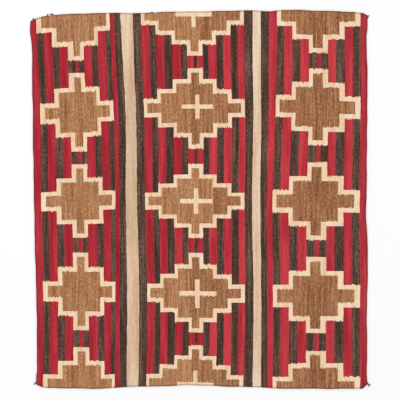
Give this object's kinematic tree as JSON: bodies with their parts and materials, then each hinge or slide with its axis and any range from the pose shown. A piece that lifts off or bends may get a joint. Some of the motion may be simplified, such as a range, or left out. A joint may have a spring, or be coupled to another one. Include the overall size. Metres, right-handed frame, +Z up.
{
  "type": "navajo rug",
  "caption": "Flat handwoven wool tapestry rug with serrated cross medallions between stripes, corded selvages and short corner tassels, for laying on a floor.",
  "frame": {"origin": "middle of the rug's reach in plan, on the floor that it lies on", "axes": "+Z up out of the floor, +Y along the rug's length and its weft, +X across its width and along its warp"},
  "size_m": [1.52, 1.6944, 0.0052],
  "materials": {
    "weft_wool": "matt handspun wool in weft-faced tapestry weave: crimson, charcoal brown, golden tan and warm ivory",
    "side_cord_wool": "matt dark wine-brown wool cord, plied, with weft turns between its bends",
    "end_cord_wool": "matt dark wine wool cord, plied and twined along the warp ends",
    "tassel_wool": "matt worn wine-brown wool, knotted and frayed"
  },
  "bodies": {
    "root": {"rug_web": "weft_wool", "side_cord_bottom": "side_cord_wool", "side_cord_top_left": "side_cord_wool", "side_cord_top_middle": "side_cord_wool", "side_cord_top_right": "side_cord_wool", "end_cord_right": "end_cord_wool", "end_cord_left": "end_cord_wool", "corner_tassel_bottom_left": "tassel_wool", "corner_tassel_bottom_right": "tassel_wool", "corner_tassel_top_right": "tassel_wool", "corner_tassel_top_left": "tassel_wool"}
  },
  "joints": []
}
